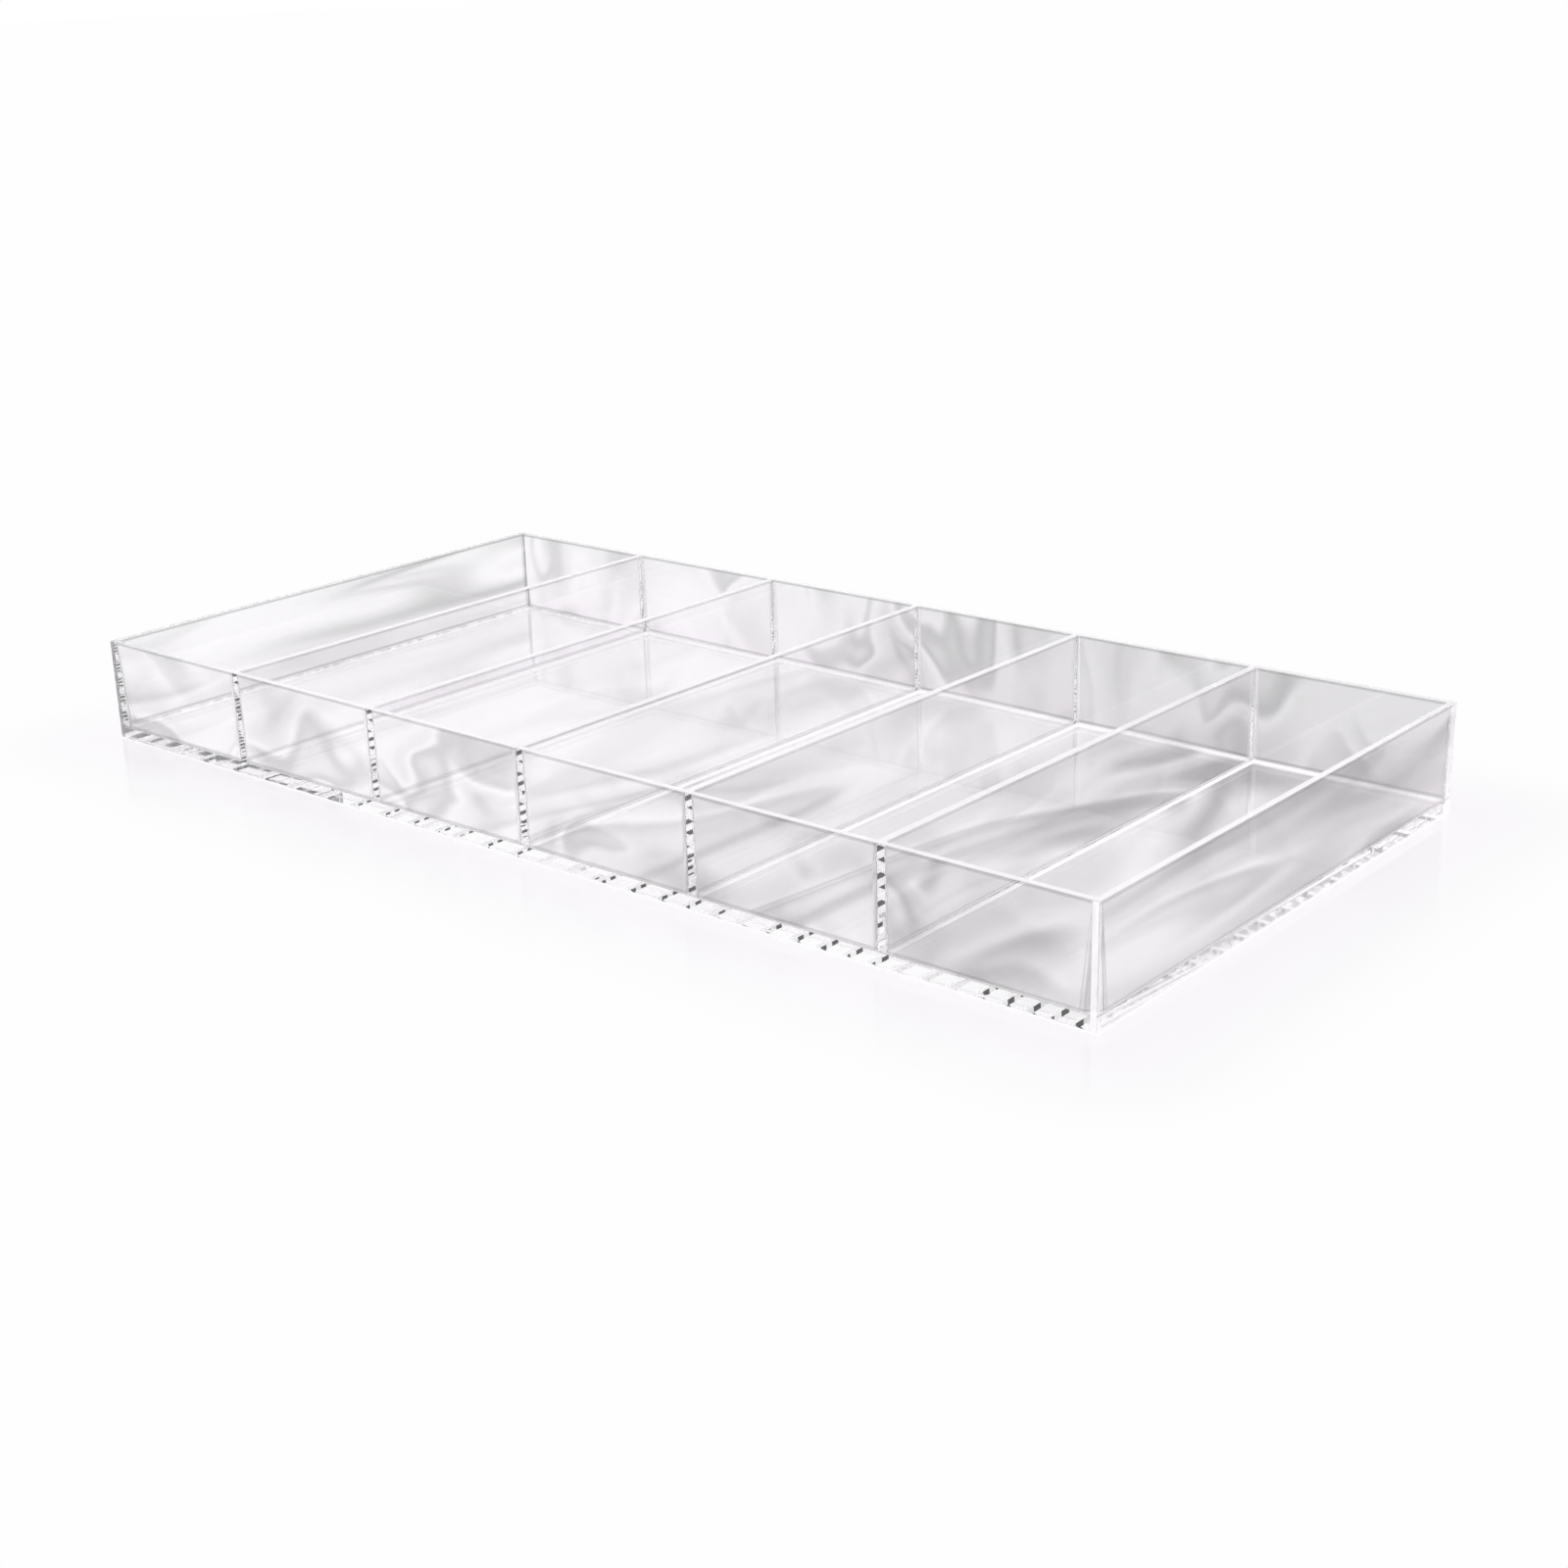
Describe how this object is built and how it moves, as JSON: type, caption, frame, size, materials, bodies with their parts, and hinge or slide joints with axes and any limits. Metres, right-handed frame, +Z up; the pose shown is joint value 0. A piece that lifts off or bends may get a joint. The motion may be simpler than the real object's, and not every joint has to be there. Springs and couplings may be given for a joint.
{
  "type": "vanity organizer",
  "caption": "Clear open-top drawer tray for a vanity, with full-height dividers that split it into one row of long equal compartments.",
  "frame": {"origin": "middle of the underside, which rests on the drawer floor", "axes": "+X along the row of compartments, +Y to the back, +Z up"},
  "size_m": [0.576, 0.282, 0.05],
  "materials": {
    "base_sheet": "polished",
    "wall_sheet": "polished",
    "divider_sheet": "polished"
  },
  "bodies": {
    "root": {"base_panel": "base_sheet", "front_wall": "wall_sheet", "back_wall": "wall_sheet", "left_end_wall": "wall_sheet", "right_end_wall": "wall_sheet", "divider_1": "divider_sheet", "divider_2": "divider_sheet", "divider_3": "divider_sheet", "divider_4": "divider_sheet", "divider_5": "divider_sheet"}
  },
  "joints": []
}
